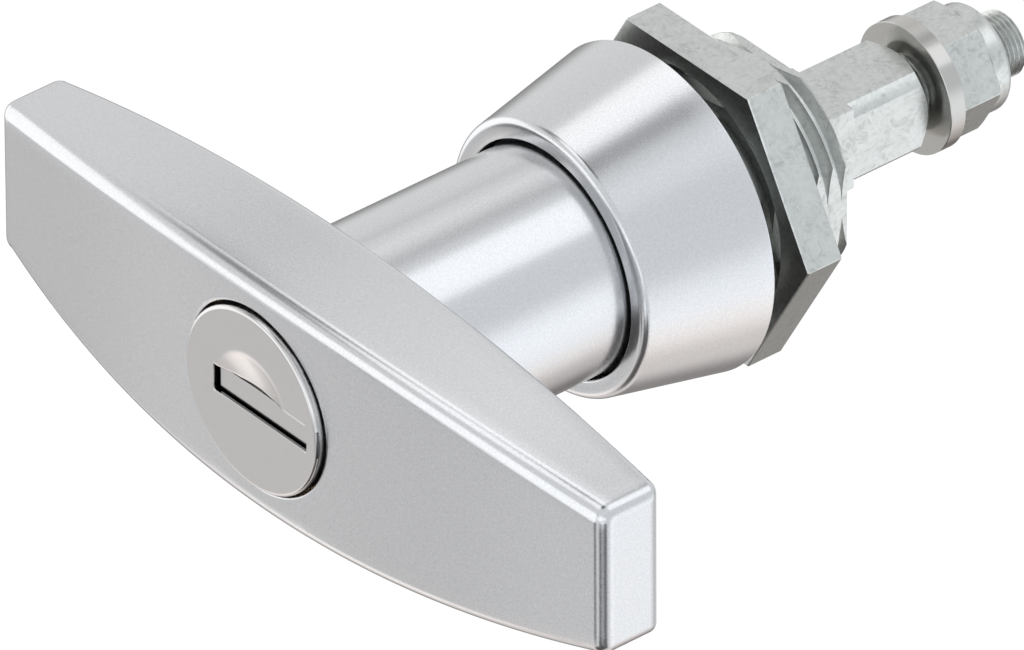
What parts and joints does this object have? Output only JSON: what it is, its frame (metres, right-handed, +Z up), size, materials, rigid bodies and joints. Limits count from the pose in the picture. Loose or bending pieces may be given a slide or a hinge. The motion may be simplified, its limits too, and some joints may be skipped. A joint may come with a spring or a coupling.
{
  "type": "locking t-handle",
  "caption": "Locking T-handle latch: tapered grip bar with a key lock, round stem, cone escutcheon, threaded panel body with hex nut, and a square spindle with stud, washer and lock nut.",
  "frame": {"origin": "on the spindle axis, in the plane of the escutcheon's back face that rests on the panel", "axes": "+Y along the spindle towards the rear, +X along the grip to the user's right, +Z up, with the handle at rest"},
  "size_m": [0.078, 0.0817, 0.0298],
  "materials": {
    "satin_chrome": "satin chrome on die-cast zinc",
    "satin_nickel": "satin nickel sheet",
    "zinc_steel": "zinc plated, mottled",
    "bright_steel": "smooth",
    "dark_steel": "plain",
    "sintered_steel": "sintered, matt",
    "brass": "machined",
    "black_rubber": "matt",
    "white_nylon": "matt"
  },
  "bodies": {
    "housing": {"escutcheon": "satin_chrome", "threaded_body": "zinc_steel", "mounting_nut": "zinc_steel", "panel_seal": "black_rubber", "stop_pin": "dark_steel"},
    "handle": {"t_grip": "satin_chrome", "stem_o_ring": "black_rubber", "detent_spring": "dark_steel", "lock_barrel": "brass", "barrel_pin": "dark_steel", "spindle": "zinc_steel", "spindle_pin": "dark_steel", "threaded_stud": "zinc_steel", "retaining_washer": "bright_steel", "retaining_ring": "dark_steel", "end_washer": "bright_steel", "lock_nut": "zinc_steel", "nylon_insert": "white_nylon"},
    "plug": {"lock_plug": "brass", "plug_cap": "satin_nickel", "plug_clip": "dark_steel", "shutter_pins": "dark_steel", "shutter_spring": "dark_steel", "wafer_springs": "dark_steel", "drive_cam": "sintered_steel", "cam_pin": "dark_steel"},
    "shutter": {"keyway_shutter": "satin_nickel"},
    "bolt": {"locking_bolt": "sintered_steel"},
    "ball_left": {"detent_ball_left": "bright_steel"},
    "ball_right": {"detent_ball_right": "bright_steel"},
    "wafer_1_body": {"wafer_1": "brass"},
    "wafer_2_body": {"wafer_2": "brass"},
    "wafer_3_body": {"wafer_3": "brass"},
    "wafer_4_body": {"wafer_4": "brass"},
    "wafer_5_body": {"wafer_5": "brass"}
  },
  "joints": [
    {"name": "handle_turn", "type": "hinge", "parent": "housing", "child": "handle", "pos_m": [0, 0, 0], "axis": [0, 1, 0], "range_deg": [0, 90]},
    {"name": "plug_turn", "type": "hinge", "parent": "handle", "child": "plug", "pos_m": [0, 0, 0], "axis": [0, 1, 0], "range_deg": [0, 90]},
    {"name": "bolt_slide", "type": "slide", "parent": "handle", "child": "bolt", "axis": [0, 0, 1], "range_m": [0, 0.0016]},
    {"name": "shutter_swing", "type": "hinge", "parent": "plug", "child": "shutter", "pos_m": [0, -0.04315, 0.00176], "axis": [1, 0, 0], "range_deg": [0, 80], "stiffness_Nm_per_rad": 0.0004, "springref_deg": -17.19},
    {"name": "ball_left_slide", "type": "slide", "parent": "handle", "child": "ball_left", "axis": [-1, 0, 0], "range_m": [0, 0.0007]},
    {"name": "ball_right_slide", "type": "slide", "parent": "handle", "child": "ball_right", "axis": [1, 0, 0], "range_m": [0, 0.0007]},
    {"name": "wafer_1_slide", "type": "slide", "parent": "plug", "child": "wafer_1_body", "axis": [1, 0, 0], "range_m": [0, 0.0007]},
    {"name": "wafer_2_slide", "type": "slide", "parent": "plug", "child": "wafer_2_body", "axis": [-1, 0, 0], "range_m": [0, 0.0007]},
    {"name": "wafer_3_slide", "type": "slide", "parent": "plug", "child": "wafer_3_body", "axis": [1, 0, 0], "range_m": [0, 0.0007]},
    {"name": "wafer_4_slide", "type": "slide", "parent": "plug", "child": "wafer_4_body", "axis": [-1, 0, 0], "range_m": [0, 0.0007]},
    {"name": "wafer_5_slide", "type": "slide", "parent": "plug", "child": "wafer_5_body", "axis": [1, 0, 0], "range_m": [0, 0.0007]}
  ],
  "couplings": [
    {"joint": "bolt_slide", "follows": "plug_turn", "m_per_rad": 0.0010185},
    {"joint": "ball_right_slide", "follows": "ball_left_slide", "ratio": 1},
    {"joint": "wafer_2_slide", "follows": "wafer_1_slide", "ratio": 1},
    {"joint": "wafer_3_slide", "follows": "wafer_1_slide", "ratio": 1},
    {"joint": "wafer_4_slide", "follows": "wafer_1_slide", "ratio": 1},
    {"joint": "wafer_5_slide", "follows": "wafer_1_slide", "ratio": 1}
  ]
}
